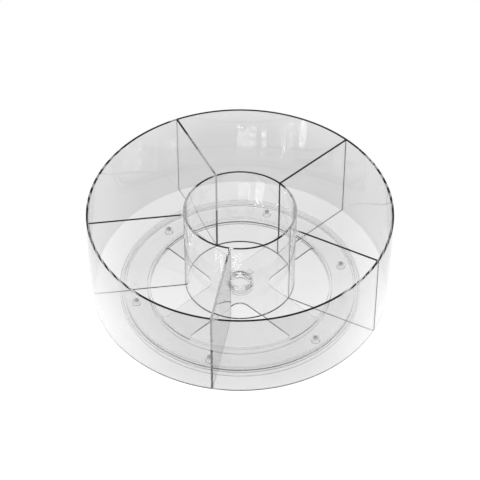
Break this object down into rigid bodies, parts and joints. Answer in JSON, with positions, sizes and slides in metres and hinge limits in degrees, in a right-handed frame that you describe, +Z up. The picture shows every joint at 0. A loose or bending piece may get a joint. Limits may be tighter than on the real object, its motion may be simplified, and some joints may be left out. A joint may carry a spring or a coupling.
{
  "type": "divided turntable caddy",
  "caption": "Round clear tray with equal wedge compartments round a centre cup, turning without limit on a low base with captured balls.",
  "frame": {"origin": "centre of the base ring's underside, on the surface that the caddy stands on and on the axis that the tray turns about", "axes": "+Z up along the turning axis, towards the open rim; +Y away from the viewer, along the middle of one window of the base; +X to the right"},
  "size_m": [0.28, 0.28, 0.1],
  "materials": {
    "tray_clear": "clear colourless moulded plastic, glossy, with polished edges",
    "base_clear": "clear colourless moulded plastic, glossy",
    "ball_steel": "polished bearing steel"
  },
  "bodies": {
    "base": {"base_ring": "base_clear", "base_spider": "base_clear", "hub_snap_plug": "base_clear"},
    "tray": {"tray_outer_wall": "tray_clear", "tray_floor": "tray_clear", "centre_cup": "tray_clear", "divider_1": "tray_clear", "divider_2": "tray_clear", "divider_3": "tray_clear", "divider_4": "tray_clear", "divider_5": "tray_clear"},
    "ball_1": {"ball_1": "ball_steel"},
    "ball_2": {"ball_2": "ball_steel"},
    "ball_3": {"ball_3": "ball_steel"},
    "ball_4": {"ball_4": "ball_steel"},
    "ball_5": {"ball_5": "ball_steel"},
    "ball_6": {"ball_6": "ball_steel"}
  },
  "joints": [
    {"name": "tray_spin", "type": "hinge", "parent": "base", "child": "tray", "pos_m": [0, 0, 0.0084], "axis": [0, 0, 1], "continuous": true},
    {"name": "ball_1_roll", "type": "hinge", "parent": "base", "child": "ball_1", "pos_m": [0.09645, 0.02405, 0.0056], "axis": [0.9703, 0.2419, 0], "continuous": true},
    {"name": "ball_2_roll", "type": "hinge", "parent": "base", "child": "ball_2", "pos_m": [0.0274, 0.09555, 0.0056], "axis": [0.2756, 0.9613, 0], "continuous": true},
    {"name": "ball_3_roll", "type": "hinge", "parent": "base", "child": "ball_3", "pos_m": [-0.06905, 0.0715, 0.0056], "axis": [-0.6947, 0.7193, 0], "continuous": true},
    {"name": "ball_4_roll", "type": "hinge", "parent": "base", "child": "ball_4", "pos_m": [-0.09645, -0.02405, 0.0056], "axis": [-0.9703, -0.2419, 0], "continuous": true},
    {"name": "ball_5_roll", "type": "hinge", "parent": "base", "child": "ball_5", "pos_m": [-0.0274, -0.09555, 0.0056], "axis": [-0.2756, -0.9613, 0], "continuous": true},
    {"name": "ball_6_roll", "type": "hinge", "parent": "base", "child": "ball_6", "pos_m": [0.06905, -0.0715, 0.0056], "axis": [0.6947, -0.7193, 0], "continuous": true}
  ],
  "couplings": [
    {"joint": "ball_1_roll", "follows": "tray_spin", "ratio": -39.76},
    {"joint": "ball_2_roll", "follows": "tray_spin", "ratio": -39.76},
    {"joint": "ball_3_roll", "follows": "tray_spin", "ratio": -39.76},
    {"joint": "ball_4_roll", "follows": "tray_spin", "ratio": -39.76},
    {"joint": "ball_5_roll", "follows": "tray_spin", "ratio": -39.76},
    {"joint": "ball_6_roll", "follows": "tray_spin", "ratio": -39.76}
  ]
}
